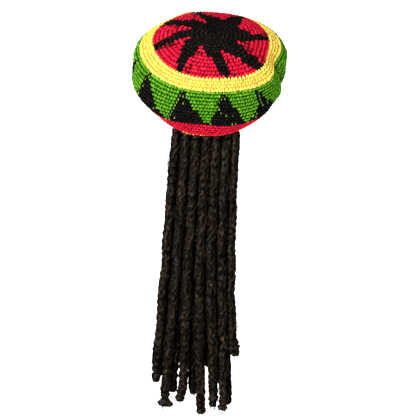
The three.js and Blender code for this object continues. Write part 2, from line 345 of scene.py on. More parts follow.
def tubes(centres, sides):
    """Faces and texture places for tubes, from points shaped (tube, ring, side, 3)."""
    count, rings, _, _ = centres.shape
    number = np.arange(count * rings * sides).reshape(count, rings, sides)
    beside = np.roll(number, -1, axis=2)
    faces = np.stack([number[:, :-1], beside[:, :-1], beside[:, 1:], number[:, 1:]], axis=-1)
    along = np.broadcast_to(np.arange(rings - 1)[None, :, None] / (rings - 1), faces.shape[:3])
    turn = np.broadcast_to(np.arange(sides)[None, None, :] / sides, faces.shape[:3])
    step = 1 / (rings - 1)
    us = np.stack([along, along, along + step, along + step], axis=-1)
    vs = np.stack([turn, turn + 1 / sides, turn + 1 / sides, turn], axis=-1)
    return faces.reshape(-1, 4), np.stack([us, vs], axis=-1).reshape(-1, 2)


# Yarn: gloss, plies along and round a strand, fuzz a metre, and how much the plies show in it
BRIGHT_GLOSS = 0.05
BLACK_GLOSS = 0.06
YARN_ROUGHNESS = 0.85
PLIES_ALONG = 3.0
PLIES_ROUND = 2.0
PLY_RELIEF = 0.3
FUZZ_SCALE = 900
YARN_BUMP_STRENGTH = 0.6
YARN_BUMP_DEPTH = 0.0006
# The range of the relief that is shaded, and the shades at its ends: painted shade in the plies'
# grooves and painted light on their tops, over the fuzz's random tone
YARN_SHADES = (0.1, 0.9, 0.6, 1.25)


def begin_material(name, roughness, gloss):
    """A material, its nodes, its links and its shader."""
    material = bpy.data.materials.new(name)
    material.use_nodes = True
    nodes = material.node_tree.nodes
    shader = nodes["Principled BSDF"]
    shader.inputs["Roughness"].default_value = roughness
    shader.inputs["Specular IOR Level"].default_value = gloss
    return material, nodes, material.node_tree.links, shader


def fine_noise(nodes, links, scale, place):
    noise = nodes.new("ShaderNodeTexNoise")
    noise.inputs["Scale"].default_value = scale
    noise.inputs["Detail"].default_value = 4
    links.new(place, noise.inputs["Vector"])
    return noise.outputs["Fac"]


def dress(nodes, links, shader, relief, shades, strength, depth):
    """Give the shader each point's own colour, darker where the relief is low and lighter where it
    is high, and embossed by the relief.
    """
    colour = nodes.new("ShaderNodeAttribute")
    colour.attribute_name = "yarn_colour"
    shade = nodes.new("ShaderNodeMapRange")
    for socket, value in zip(("From Min", "From Max", "To Min", "To Max"), shades):
        shade.inputs[socket].default_value = value
    links.new(relief, shade.inputs["Value"])
    tinted = nodes.new("ShaderNodeVectorMath")
    tinted.operation = "SCALE"
    links.new(colour.outputs["Color"], tinted.inputs[0])
    links.new(shade.outputs["Result"], tinted.inputs["Scale"])
    links.new(tinted.outputs["Vector"], shader.inputs["Base Color"])
    pushed = nodes.new("ShaderNodeBump")
    pushed.inputs["Strength"].default_value = strength
    pushed.inputs["Distance"].default_value = depth
    links.new(relief, pushed.inputs["Height"])
    links.new(pushed.outputs["Normal"], shader.inputs["Normal"])


def yarn_material(name, gloss):
    """Twisted yarn: plies that run round each strand, and fine fuzz."""
    material, nodes, links, shader = begin_material(name, YARN_ROUGHNESS, gloss)

    def calculate(operation, value, factor=None, added=None):
        node = nodes.new("ShaderNodeMath")
        node.operation = operation
        links.new(value, node.inputs[0])
        if factor is not None:
            node.inputs[1].default_value = factor
        if added is not None:
            links.new(added, node.inputs[2])
        return node.outputs[0]

    place = nodes.new("ShaderNodeUVMap")
    place.uv_map = "yarn"
    split = nodes.new("ShaderNodeSeparateXYZ")
    links.new(place.outputs["UV"], split.inputs["Vector"])
    along = calculate("MULTIPLY", split.outputs["X"], PLIES_ALONG)
    turn = calculate("MULTIPLY_ADD", split.outputs["Y"], PLIES_ROUND, along)
    wave = calculate("SINE", calculate("MULTIPLY", turn, 2 * math.pi))
    spot = nodes.new("ShaderNodeTexCoord")
    fuzz = fine_noise(nodes, links, FUZZ_SCALE, spot.outputs["Object"])
    # The ply wave and the fuzz also tint the colour: painted shade in the plies' grooves
    relief = calculate("MULTIPLY_ADD", wave, PLY_RELIEF, fuzz)
    dress(nodes, links, shader, relief, YARN_SHADES, YARN_BUMP_STRENGTH, YARN_BUMP_DEPTH)
    return material


bright_yarn = yarn_material("bright_yarn", BRIGHT_GLOSS)
black_yarn = yarn_material("black_yarn", BLACK_GLOSS)
MATERIALS = {
    "red": bright_yarn,
    "yellow": bright_yarn,
    "green": bright_yarn,
    "black": black_yarn,
}


def chart(piece, azimuth, place):
    """The yarn of a stitch, the yarn carried in it and how likely that is to show."""
    if piece == "crown":
        return star_yarn(azimuth, place)
    if piece == "side_wall":
        return triangle_yarn(azimuth, place)
    plain_yarn = np.full(azimuth.shape, "red" if piece == "red_band" else "yellow")
    carried = np.full(azimuth.shape, "", dtype="<U6")
    return plain_yarn, carried, np.zeros(azimuth.shape)


def star_yarn(azimuth, place):
    """Red wedges on black, with black yarn carried along one border of each."""
    red = np.zeros(azimuth.shape, bool)
    carried = np.full(azimuth.shape, "", dtype="<U6")
    stitch = FLECK_REACH * CROWN_ROUNDS / np.maximum(place, 1)
    for start, tip, middle_low, middle_high, end_low, end_high in WEDGES:
        stations = [start, WEDGE_MIDDLE, WEDGE_END]
        low = np.interp(place, stations, [tip, middle_low, end_low])
        high = np.interp(place, stations, [tip, middle_high, end_high])
        inside = np.mod(azimuth - low, 360)
        wedge = (place > start) & (inside < high - low)
        red = red | wedge
        carried[wedge & (inside < 2 * stitch) & (high - low > 4 * stitch)] = "black"
    return np.where(red, "red", "black"), carried, np.full(azimuth.shape, STAR_FLECKS)


def triangle_yarn(azimuth, place):
    """Black triangles on green, with the green yarn carried through them."""
    share = np.clip((place - TRIANGLE_START) / (TRIANGLE_FOOT - TRIANGLE_START), 0, 1)
    share = share**TRIANGLE_TAPER
    yarns = np.full(azimuth.shape, "green", dtype="<U6")
    carried = np.full(azimuth.shape, "", dtype="<U6")
    near = np.zeros(azimuth.shape)
    ends = TRIANGLE_FEET[1:]
    for top, foot, next_foot, bow in zip(TRIANGLE_TOPS, TRIANGLE_FEET, ends, TRIANGLE_BOWS):
        low = top + (foot - top) * share + bow * np.sin(math.pi * share)
        high = top + (next_foot - top) * share
        inside = np.mod(azimuth - low, 360)
        black = (inside < high - low) & (share > 0)
        yarns[black] = "black"
        carried[black] = "green"
        near[black] = np.exp(-inside[black] / FLECK_REACH)
    return yarns, carried, BORDER_FLECKS * near + STRAY_FLECKS


# The legs of a stitch. Sideways numbers are shares of its width, lengthways ones of its height.
LEG_RINGS = 8
LEG_SIDES = 5
LEG_ROOM = 1.1
LEG_THICKNESSES = (0.88, 1.08)
LEG_FLATNESS = 0.85
LEG_TILT = 0.25
FOOT_SPREAD = 0.05
LEG_SPREAD = 0.2
SPREAD_POWER = 1.2
LEAN_JITTER = 0.12
SIDE_JITTER = 0.07
LEG_START = -0.66
LEG_LENGTH = 1.26
LENGTH_JITTER = 0.08
ARCH_JITTER = 0.25
ARCH_POWER = 0.85
EDGE_LIFT = 0.0016
# Each leg's own tone at random, how much its painted shade varies, and the strongest painted
# highlight
TINTS = (0.78, 1.16)
SHADE_JITTER = 0.15
MOST_HIGHLIGHT = 0.85
LEG_WIDTHS = np.array([0.25, 0.8, 1.02, 1.08, 1.05, 0.95, 0.7, 0.25])
# Painted shade along a leg: at 0 it takes the ground's painted shade where it dives in, at 1 the
# yarn's own colour
LEG_SHADES = np.array([0, 0.2, 0.6, 0.95, 1, 0.9, 0.45, 0])
# Where along a leg the painted highlight lies
LEG_HIGHLIGHTS = np.array([0, 0, 0.2, 0.7, 1, 0.6, 0.1, 0])


def stitch_rows(first, count):
    """Centre azimuth, place, width and height of every stitch of some rounds."""
    rows = []
    for row in range(first, first + count):
        middle = np.full(AZIMUTHS.shape, row + 0.5)
        ring = body_point(AZIMUTHS, middle)
        around = np.linalg.norm(np.diff(ring, axis=0), axis=1).sum()
        number = max(round(around / STITCH_WIDTH), FEWEST_STITCHES)
        jitter = rng.uniform(-STITCH_JITTER, STITCH_JITTER, number)
        azimuth = (np.arange(number) + 0.5 * (row % 2) + jitter) * 360 / number
        place = np.full(number, row + 0.5)
        beside = body_point(azimuth + TURN_PROBE, place) - body_point(azimuth - TURN_PROBE, place)
        radius = np.linalg.norm(beside, axis=1) / math.radians(2 * TURN_PROBE)
        above = body_point(azimuth, place - 0.5)
        below = body_point(azimuth, place + 0.5)
        height = np.linalg.norm(below - above, axis=1)
        width = 2 * math.pi * radius / number
        up = np.full(number, EDGE_REACH if row == YELLOW_START else 0.0)
        down = np.full(number, EDGE_REACH if row == YELLOW_END - 1 else 0.0)
        rows.append(np.stack([azimuth, place, width, height, radius, up, down], axis=1))
    return np.concatenate(rows)


def legs(stitches, side, reach=1.0, proud=0.0, thin=1.0):
    """Points of one leg of each stitch, or of its upper part, shaped (stitch, ring, side, 3)."""
    azimuth, place, width, height, radius, up, down = (stitches[:, k, None, None] for k in range(7))
    count = len(stitches)
    s = reach * np.linspace(0, 1, LEG_RINGS)[None, :, None]
    turn = (2 * math.pi * np.arange(LEG_SIDES) / LEG_SIDES)[None, None, :]
    each = (count, 1, 1)
    thick = YARN_SHARE * np.minimum(width, height * LEG_ROOM) * rng.uniform(*LEG_THICKNESSES, each)
    thick = thin * thick * LEG_WIDTHS[None, :, None]
    spread = FOOT_SPREAD + LEG_SPREAD * np.sin(s * math.pi / 2) ** SPREAD_POWER
    lean = LEAN + rng.uniform(-LEAN_JITTER, LEAN_JITTER, each)
    x = side * spread * width - lean * width * (s - 0.5)
    x = x + rng.uniform(-SIDE_JITTER, SIDE_JITTER, each) * width
    y = LEG_START - up + (LEG_LENGTH + up + down) * s
    y = (y + rng.uniform(-LENGTH_JITTER, LENGTH_JITTER, each)) * height
    arch = ARCH * (1 + rng.uniform(-ARCH_JITTER, ARCH_JITTER, each))
    lift = SEAT + proud + arch * np.sin(math.pi * s**ARCH_POWER) + (up + down) * EDGE_LIFT
    x = x + thick * np.cos(turn)
    y = y + side * LEG_TILT * thick * np.cos(turn)
    lift = lift + LEG_FLATNESS * thick * np.sin(turn)
    angle = azimuth + np.degrees(x / radius)
    return raised_point(angle, place + y / height, lift * np.ones_like(angle))


def leg_colours(count, crest, valley_shade, highlight):
    """A colour for each ring of each leg, from painted shade deep between the stitches to their
    crests, where some take a painted highlight.
    """
    each = (count, 1, 1)
    tint = rng.uniform(*TINTS, each)
    jitter = rng.uniform(-SHADE_JITTER, SHADE_JITTER, each)
    shades = np.clip(LEG_SHADES[None, :, None] + jitter, 0, 1)
    crest = np.array(crest)
    highlight_share = MOST_HIGHLIGHT * LEG_HIGHLIGHTS[None, :, None] * rng.random(each) ** 2
    # Painted shade towards the leg's ends, then a painted highlight on some crests
    deep = tint * crest * (np.array(valley_shade) * (1 - shades) + shades)
    return deep * (1 - highlight_share) + np.array(highlight) * highlight_share


def crochet(name, stitches, yarns, carried, showing):
    """One object for each yarn among the stitches."""
    shown = rng.random(len(yarns)) < showing
    for colour in ("red", "yellow", "green", "black"):
        both = []
        tints = []
        own = yarns == colour
        for side in (-1, 1):
            both.append(legs(stitches[own], side))
            tints.append(leg_colours(own.sum(), YARNS[colour], PAINTED_GROUND_SHADE[colour], PAINTED_HIGHLIGHT[colour]))
        flecked = (carried == colour) & shown
        if flecked.any():
            both.append(legs(stitches[flecked], 1, *FLECK_SHAPES[colour]))
            tints.append(leg_colours(flecked.sum(), FLECKS[colour], FLECK_PAINTED_SHADE, PAINTED_HIGHLIGHT[colour]))
        centres = np.concatenate(both)
        if len(centres) == 0:
            continue
        colours = np.concatenate(tints).repeat(LEG_SIDES, axis=1).reshape(-1, 3)
        faces, uv = tubes(centres, LEG_SIDES)
        obj = new_mesh(f"{name}_{colour}", centres.reshape(-1, 3), faces, uv, colours)
        obj.data.materials.append(MATERIALS[colour])
        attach(obj, "root")


# The ground and inner side: points a turn and a round, the hole at the crown's centre, the rows'
# ridges and ribs on the inner side, and the rim's turn
SHELL_TURNS = 220
SHELL_STEPS = 3
CENTRE_HOLE = 0.02
RIDGE = 0.0009
RIB = 0.0004
RIBS = 100
RIM_STEPS = 6
RIM_LIFT = 0.0002
BORDER_MARGIN = 0.01
SHELL_GRAIN = 0.37


def shell(piece, first, count):
    """The ground under the stitches of one piece, darkened with painted shade, and its inner side
    with a row relief and a milder painted shade.
    """
    steps = count * SHELL_STEPS + 1
    azimuth = np.arange(SHELL_TURNS)[None, :] * 360 / SHELL_TURNS
    place = np.linspace(first, first + count, steps)[:, None] * np.ones_like(azimuth)
    azimuth = azimuth * np.ones_like(place)
    if first == 0:
        place[0] = CENTRE_HOLE
    outside = raised_point(azimuth, place, np.full(place.shape, -GROUND_DEPTH))
    inner_place = 2 * LAST_ROUND + 1 - place[::-1]
    ridge = RIDGE * np.abs(np.sin(math.pi * inner_place))
    ridge = ridge + RIB * np.sin(np.radians(azimuth * RIBS))
    inside = raised_point(azimuth, inner_place, ridge)
    if first + count == LAST_ROUND:
        rim = np.linspace(LAST_ROUND, LAST_ROUND + 1, RIM_STEPS)[1:-1, None]
        rim = rim * np.ones((1, SHELL_TURNS))
        turned = raised_point(azimuth[: len(rim)], rim, np.full(rim.shape, RIM_LIFT))
        points = np.concatenate([outside, turned, inside])
        places = np.concatenate([place, np.full(rim.shape, LAST_ROUND), place[::-1]])
    else:
        points = np.concatenate([outside, inside])
        places = np.concatenate([place, place[::-1]])
    rows = len(points)
    number = np.arange(rows * SHELL_TURNS).reshape(rows, SHELL_TURNS)
    if first > 0:
        number = np.concatenate([number, number[:1]])
    beside = np.roll(number, -1, axis=1)
    faces = np.stack([number[:-1], beside[:-1], beside[1:], number[1:]], axis=-1).reshape(-1, 4)
    turned_azimuth = np.broadcast_to(azimuth[:1], places.shape)
    places = np.clip(places, first + BORDER_MARGIN, first + count - BORDER_MARGIN)
    yarns, _, _ = chart(piece, turned_azimuth, places)
    colours = np.array([YARNS[yarn] for yarn in yarns.ravel()])
    # Painted shade: the ground under the stitches takes the ground's shade, the inner side a milder
    # one
    ground_shades = np.array([PAINTED_GROUND_SHADE[yarn] for yarn in yarns.ravel()])
    outer_part = np.arange(rows * SHELL_TURNS) < len(outside) * SHELL_TURNS
    colours = colours * np.where(outer_part[:, None], ground_shades, INNER_SHADE)
    uv = np.stack([faces // SHELL_TURNS, faces % SHELL_TURNS], axis=-1).reshape(-1, 2) * SHELL_GRAIN
    obj = new_mesh(f"{piece}_ground", points.reshape(-1, 3), faces, uv, colours)
    obj.data.materials.append(bright_yarn)
    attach(obj, "root")
    return obj


start = 0
for piece_name, _, _, rounds in ROUNDS:
    stitches = stitch_rows(start, rounds)
    crochet(f"{piece_name}_stitches", stitches, *chart(piece_name, stitches[:, 0], stitches[:, 1]))
    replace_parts(shell(piece_name, start, rounds), piece_name)
    start += rounds

rim_stitches = stitch_rows(LAST_ROUND, 1)
crochet("rim_stitches", rim_stitches, *chart("opening_edge", rim_stitches[:, 0], rim_stitches[:, 1]))


# Locks

def back_point(azimuth, radius):
    angle = math.radians(azimuth)
    return np.array([radius * math.sin(angle), -radius * math.cos(angle), 0.0])


def row_azimuth(place, radius):
    return BUNDLE_AZIMUTH + math.degrees(place * LOCK_PITCH / radius)


PLACES = [lock[1] for lock in LOCKS]
WEFT_START = row_azimuth(min(PLACES) - WEFT_OVERHANG / LOCK_PITCH, LOCK_ARC_RADIUS)
WEFT_END = row_azimuth(max(PLACES) + WEFT_OVERHANG / LOCK_PITCH, LOCK_ARC_RADIUS)
WEFT_SAMPLES = 25
WEFT_AZIMUTHS = np.linspace(WEFT_START, WEFT_END, WEFT_SAMPLES)
edge_inside = body_point(WEFT_AZIMUTHS, np.full(WEFT_SAMPLES, LAST_ROUND + 1.0))
WEFT_RADIUS = np.hypot(edge_inside[:, 0], edge_inside[:, 1]).min() - SEAM_GAP


def smoothstep(x):
    x = np.clip(x, 0, 1)
    return x * x * (3 - 2 * x)


def lock_line(lock, drop):
    """Centre points and radii of a lock at drops below the weft."""
    row, place, upper, middle, lower, tip, share = lock
    length = share * LOCK_LENGTH
    sways = [0, upper, middle, lower, tip]
    at = np.clip(drop, 0, None) / length
    k = np.clip(np.searchsorted(LOCK_STATIONS, at, side="left") - 1, 0, 3)
    stations = np.array(LOCK_STATIONS)
    u = k + (at - stations[k]) / (stations[k + 1] - stations[k])
    settled = smoothstep(drop / LOCK_SWELL)
    behind = WEFT_RADIUS - WEFT_THICKNESS - SEAM_GAP - LOCK_ROOT_RADIUS
    row_radius = LOCK_ARC_RADIUS - row * LOCK_ROW_DEPTH
    root = back_point(row_azimuth(place, LOCK_ARC_RADIUS), behind if row else LOCK_ARC_RADIUS)
    hanging = back_point(row_azimuth(place, row_radius), row_radius)
    centre = root + (hanging - root) * settled[:, None]
    centre[:, 0] += curve(sways, u) * LOCK_PITCH
    centre[:, 2] += -WEFT_DROP - SEAM_GAP - drop
    root_radius = LOCK_ROOT_RADIUS if row else LOCK_RADIUS - LOCK_ROOT_TAPER
    swollen = root_radius + (LOCK_RADIUS - root_radius) * settled**2
    narrowing = np.sqrt(np.clip((length - drop) / (2 * LOCK_RADIUS), 0, 1))
    tip_radius = np.minimum(LOCK_TIP_RADIUS, swollen)
    return centre, tip_radius + (swollen - tip_radius) * narrowing


def waves(x, count, low, high, source):
    """A smooth random signal of the given wavelengths, between about -1 and 1."""
    lengths = source.uniform(low, high, count)
    phases = source.uniform(0, 2 * math.pi, count)
    parts = [np.sin(2 * math.pi * x / span + phase) for span, phase in zip(lengths, phases)]
    return np.sum(parts, axis=0) / math.sqrt(count)


# The ropes: what their numbers are added to for a seed, corners round them, the drop between
# rings, and their plies
FIRST_SEED = 100
LOCK_SIDES = 30
LOCK_STEP = 0.0021
PLIES = 5
PLY_PITCH = 0.22
PITCH_SHARES = (0.8, 1.3)
PLY_RADIUS = 0.52
PLY_OFFSET = 0.49
# How a rope strays from its line, and how that grows below the weft
WOBBLE = 0.0008
WOBBLE_START = 0.05
WOBBLE_SPANS = (0.05, 0.14)
# How its plies wander and crimp, and how lumpy it is, more so near the end
WANDER = 0.5
WANDER_SPANS = (0.05, 0.15)
CRIMP = 0.34
CRIMP_SPANS = (0.015, 0.026)
LUMP_SPANS = (0.010, 0.022)
LUMPS = 0.06
END_LUMPS = 0.08
END_LUMP_REACH = 0.09
# The swell and the turn of its end, and how short the neck above a flared end is
END_SWELL = 0.35
END_SWELL_REACH = 0.006
END_TURN_REACH = 0.035
NECK_REACH = 0.004
CAP_HEIGHT = 0.0012
# Ripples round the surface: height, ripples a turn, and how they follow the plies or the drop
PLY_RIPPLE = (0.03, 8, 5)
DROP_RIPPLE = (0.022, 13, 900)
FRIZZ = 0.00026
# Painted highlight in lighter streaks along the plies' crests: strands a turn, how they follow the
# plies, how many rings each one lasts, the streaks' contrast, and the spread of specks
STRANDS = 26
STRAND_TWIST = 1.3
STREAK_RINGS = 6
CREST_POWER = 2.5
STREAK_GAIN = 5
STREAK_FLOOR = 2.3
MOST_STREAK = 1.3
SPECKS = (0.3, 1.5)
# Fibres that wrap each lock: how many, how far they reach along it, where they keep clear of its
# ends, how they follow the plies, and their waviness
FIBRES_A_LOCK = 190
FIBRE_REACHES = (0.012, 0.05)
FIBRE_TOP = 0.004
FIBRE_BOTTOM = 0.012
FIBRE_MARGIN = 0.001
FIBRE_SENSES = [1.0, 1.3, 1.0, -0.5]
FIBRE_WAVE = 0.3
FIBRE_WAVINESS = (4, 14)
FIBRE_LIFTS = (-0.0003, 0.0005)
FIBRE_THICKNESS = 0.00045
# Strands that spill from its end
TIP_FIBRES = 24
TIP_TURN = 1.5
TIP_STARTS = (0.004, 0.012)
TIP_REACH = 0.02
TIP_SINK = 0.0005
TIP_LIFTS = (-0.003, 0.001)
TIP_FALL = 0.010
# Springy strands: their reach, where they keep clear, their turn, height and curl
WISP_REACHES = (0.006, 0.024)
WISP_TOP = 0.03
WISP_BOTTOM = 0.02
WISP_TURN = 1.2
WISP_HEIGHTS = (0.0012, 0.0042)
WISP_CURL = 0.0006
WISP_CURLINESS = (6, 16)
WISP_THICKNESS = 0.0005
# Rings and sides of every strand, how blunt its ends are, and how rare a light one is
STRAND_RINGS = 10
STRAND_SIDES = 3
STRAND_END = 0.05
STRAND_BLUNTNESS = 0.4
STRAND_LIGHTNESS = 2.2
# Springy strands of each lock
WISPS = [26, 9, 8, 8, 8, 9, 20, 12, 4, 4, 4, 4, 12]
# How far each lock's end turns aside, in millimetres
TIP_TURNS = [-2, 2, -5, 1, -1, -2, 4, -2, 2, 1, 0, 0, 1]
# Ends that flare: the lock, the depth of the neck above, the spread, its height above the end and
# its reach
FLARES = [(2, 0.35, 0.95, 0.005, 0.0055), (7, 0, 0.35, 0.020, 0.013)]
FLARE_TILT = 0.5
FLARE_BOW = 0.6
# Loops that spring from a lock: its number, the drop, the side it is on, its length and its height
LOOPS = [
    (1, 0.040, 3.1, 0.033, 0.0085),
    (1, 0.044, 3.0, 0.024, 0.0055),
    (1, 0.068, 3.3, 0.018, 0.0040),
    (1, 0.245, 3.0, 0.016, 0.0030),
    (1, 0.415, 3.2, 0.018, 0.0042),
    (7, 0.150, 0.1, 0.016, 0.0030),
    (7, 0.395, 0.2, 0.020, 0.0040),
]
LOOP_ROUNDNESS = 0.7
LOOP_BULGE = 0.12
LOOP_TURN = 0.25
LOOP_SEAT = 0.001
LOOP_THICKNESS = 0.0008
# Curls that trail from the ends: the lock, where they start and end across, and their sag and fall
CURLS = [
    (2, -0.007, -0.001, 0.003, 0.015),
    (3, 0.003, -0.019, 0.011, -0.017),
    (5, 0.006, 0.001, 0.004, 0.013),
    (6, 0.004, -0.005, 0.005, 0.013),
]
CURL_SEAT = 0.002
CURL_THICKNESS = 0.0009
# The fibre's dark tone, and its pale one, which on the rope's skin is a painted highlight along the
# crests and on the strands a random tone
FIBRE_DARK = np.array([0.0012, 0.0006, 0.0003])
FIBRE_PALE_AND_HIGHLIGHT = np.array([0.042, 0.028, 0.017])


def lock_frame(centre):
    tangent = np.gradient(centre, axis=0)
    tangent /= np.linalg.norm(tangent, axis=1, keepdims=True)
    across = np.array([1.0, 0, 0]) - tangent[:, :1] * tangent
    across /= np.linalg.norm(across, axis=1, keepdims=True)
    return across, np.cross(tangent, across)


def ply_profile(theta, twist):
    """The reach of a twisted rope as a share of its radius, and how near to a ply's crest it is."""
    off = np.mod(theta - twist, 2 * math.pi / PLIES) - math.pi / PLIES
    reach = PLY_OFFSET * np.cos(off) + np.sqrt(PLY_RADIUS**2 - (PLY_OFFSET * np.sin(off)) ** 2)
    return reach, np.cos(PLIES / 2 * off)


class Rope:
    """A hanging lock of twisted plies: its line, its frame and how its surface runs."""

    def __init__(self, lock, number):
        source = np.random.default_rng(FIRST_SEED + number)
        self.source = source
        length = lock[6] * LOCK_LENGTH
        top = -LOCK_ROOT_RISE if lock[0] else 0
        drop = np.linspace(top, length, int((length - top) / LOCK_STEP))
        centre, radius = lock_line(lock, drop)
        wobble = WOBBLE * np.clip(drop / WOBBLE_START, 0, 1)
        centre[:, 0] += wobble * waves(drop, 4, *WOBBLE_SPANS, source)
        centre[:, 1] += wobble * waves(drop, 4, *WOBBLE_SPANS, source)
        left = length - drop
        end = np.clip(1 - left / END_TURN_REACH, 0, 1) ** 2
        centre[:, 0] += TIP_TURNS[number - 1] / 1000 * end
        radius = radius * (1 + END_SWELL * np.exp(-((left / END_SWELL_REACH) ** 2)))
        self.flare = np.ones_like(drop)
        for flared, neck, spread, place, reach in FLARES:
            if flared == number:
                above = (left - place - 2 * reach) / NECK_REACH
                radius = radius * (1 - neck * np.exp(-(above**2)))
                self.flare += spread * np.exp(-(((left - place) / reach) ** 2))
        self.skew = FLARE_TILT * (self.flare - 1)
        self.drop = drop
        self.centre = centre
        self.radius = radius
        self.across, self.depth = lock_frame(centre)
        knots = np.clip(1 - left / END_LUMP_REACH, 0, 1)
        self.lumps = waves(drop, 5, *LUMP_SPANS, source) * (LUMPS + END_LUMPS * knots)
        pitch = PLY_PITCH * source.uniform(*PITCH_SHARES)
        self.twist = 2 * math.pi * drop / pitch + WANDER * waves(drop, 4, *WANDER_SPANS, source)
        crimp = CRIMP * waves(drop, 3, *CRIMP_SPANS, source)
        self.twist += crimp + source.uniform(0, 2 * math.pi)
        self.phase = source.uniform(0, 2 * math.pi)
        self.length = length

    def surface(self, theta, drop):
        """Radius at angles and drops, and how near to a crest each place is."""
        twist = np.interp(drop, self.drop, self.twist)
        reach, crest = ply_profile(theta, twist)
        height, turns, twists = PLY_RIPPLE
        ripple = height * np.sin(turns * theta + twists * twist + self.phase)
        height, turns, drops = DROP_RIPPLE
        ripple = ripple + height * np.sin(turns * theta - drops * drop)
        lumps = np.interp(drop, self.drop, self.lumps)
        return np.interp(drop, self.drop, self.radius) * (reach + ripple + lumps), crest

    def at(self, theta, drop, lift):
        """Points over the surface, and the directions outward from the line there."""
        def read(values):
            return np.stack([np.interp(drop, self.drop, values[:, k]) for k in range(3)], axis=-1)
        flare = np.interp(drop, self.drop, self.flare)
        across = (flare * np.cos(theta))[..., None] * read(self.across)
        outward = across + np.sin(theta)[..., None] * read(self.depth)
        skew = np.interp(drop, self.drop, self.skew)
        outward[..., 2] -= skew * (np.cos(theta) - FLARE_BOW * np.sin(theta) ** 2)
        radius, _ = self.surface(theta, drop)
        return read(self.centre) + (radius + lift)[..., None] * outward, outward

    def skin(self):
        """The rope's own surface, frizzed, with a painted highlight in lighter streaks along its
        crests.
        """
        theta = np.arange(LOCK_SIDES)[None, :] * 2 * math.pi / LOCK_SIDES
        theta = theta * np.ones((len(self.drop), 1))
        drop = self.drop[:, None] * np.ones_like(theta)
        frizz = self.source.normal(0, FRIZZ, theta.shape) * (2 * self.flare[:, None] - 1)
        points, _ = self.at(theta, drop, frizz)
        _, crest = self.surface(theta, drop)
        noise = self.source.uniform(0, 1, (len(self.drop), STRANDS))
        kernel = np.ones(STREAK_RINGS) / STREAK_RINGS
        noise = np.stack([np.convolve(column, kernel, "same") for column in noise.T], axis=1)
        strand = (theta - STRAND_TWIST * self.twist[:, None]) * STRANDS / (2 * math.pi)
        strand = np.mod(strand, STRANDS).astype(int)
        streak = np.take_along_axis(noise, np.clip(strand, 0, STRANDS - 1), axis=1)
        speck = self.source.uniform(*SPECKS, theta.shape)
        shine = np.clip(streak * STREAK_GAIN - STREAK_FLOOR, 0, MOST_STREAK)
        # Painted highlight: lighter on the plies' crests, broken by random streaks and specks
        light = np.clip(crest**CREST_POWER * speck * shine, 0, 1)[..., None]
        colours = FIBRE_DARK + (FIBRE_PALE_AND_HIGHLIGHT - FIBRE_DARK) * light
        cap_top = np.broadcast_to(self.centre[0], (1, LOCK_SIDES, 3))
        lowest = self.centre[-1] - np.array([0, 0, CAP_HEIGHT])
        cap_end = np.broadcast_to(lowest, (1, LOCK_SIDES, 3))
        points = np.concatenate([cap_top, points, cap_end])
        colours = np.concatenate([colours[:1], colours, colours[-1:]])
        return points[None], colours.reshape(-1, 3)

    def fibres(self):
        """Thin strands that wrap round the rope."""
        count = FIBRES_A_LOCK
        source = self.source
        s = np.linspace(0, 1, STRAND_RINGS)[None, :]
        reach = source.uniform(*FIBRE_REACHES, (count, 1))
        begin = source.uniform(FIBRE_TOP, self.length - FIBRE_BOTTOM, (count, 1))
        at = np.minimum(begin + reach * s, self.length - FIBRE_MARGIN)
        twist = np.interp(at, self.drop, self.twist)
        sense = source.choice(FIBRE_SENSES, (count, 1))
        theta = source.uniform(0, 2 * math.pi, (count, 1)) + sense * (twist - twist[:, :1])
        theta = theta + FIBRE_WAVE * np.sin(s * source.uniform(*FIBRE_WAVINESS, (count, 1)))
        lift = source.uniform(*FIBRE_LIFTS, (count, 1)) * np.ones_like(s)
        return self.strands(theta, at, lift, FIBRE_THICKNESS)

    def wisps(self, count):
        """Strands that spring off the rope, some as loops and some with a free end."""
        source = self.source
        s = np.linspace(0, 1, STRAND_RINGS)[None, :]
        reach = source.uniform(*WISP_REACHES, (count, 1))
        at = source.uniform(WISP_TOP, self.length - WISP_BOTTOM, (count, 1)) + reach * s
        theta = source.uniform(0, 2 * math.pi, (count, 1))
        theta = theta + source.uniform(-WISP_TURN, WISP_TURN, (count, 1)) * s
        loose = source.choice([0, 1], (count, 1))
        height = source.uniform(*WISP_HEIGHTS, (count, 1))
        lift = height * (np.sin(math.pi * s) * (1 - loose) + s**1.5 * loose)
        lift = lift + WISP_CURL * np.sin(s * source.uniform(*WISP_CURLINESS, (count, 1)))
        return self.strands(theta, at, lift, WISP_THICKNESS)

    def loops(self, number):
        """The larger loops of one lock."""
        own = np.array([row[1:] for row in LOOPS if row[0] == number]).reshape(-1, 4, 1)
        s = np.linspace(0, 1, STRAND_RINGS)[None, :]
        swing = np.sin(math.pi * s) ** LOOP_ROUNDNESS
        at = own[:, 0] + own[:, 2] * (s + LOOP_BULGE * np.sin(2 * math.pi * s))
        theta = own[:, 1] + LOOP_TURN * (s - 0.5)
        return self.strands(theta, at, own[:, 3] * swing - LOOP_SEAT, LOOP_THICKNESS)

    def curls(self, number):
        """The thin curls that trail from the end of one lock."""
        own = np.array([row[1:] for row in CURLS if row[0] == number]).reshape(-1, 4, 1)
        s = np.linspace(0, 1, STRAND_RINGS)[None, :]
        line = self.centre[-1] + np.zeros((*own.shape[:1], STRAND_RINGS, 3))
        line[..., 0] += own[:, 0] + (own[:, 1] - own[:, 0]) * s
        line[..., 2] -= own[:, 2] * np.sin(math.pi * s) + own[:, 3] * s - CURL_SEAT
        return self.tube(line, np.broadcast_to(self.depth[-1], line.shape), CURL_THICKNESS)

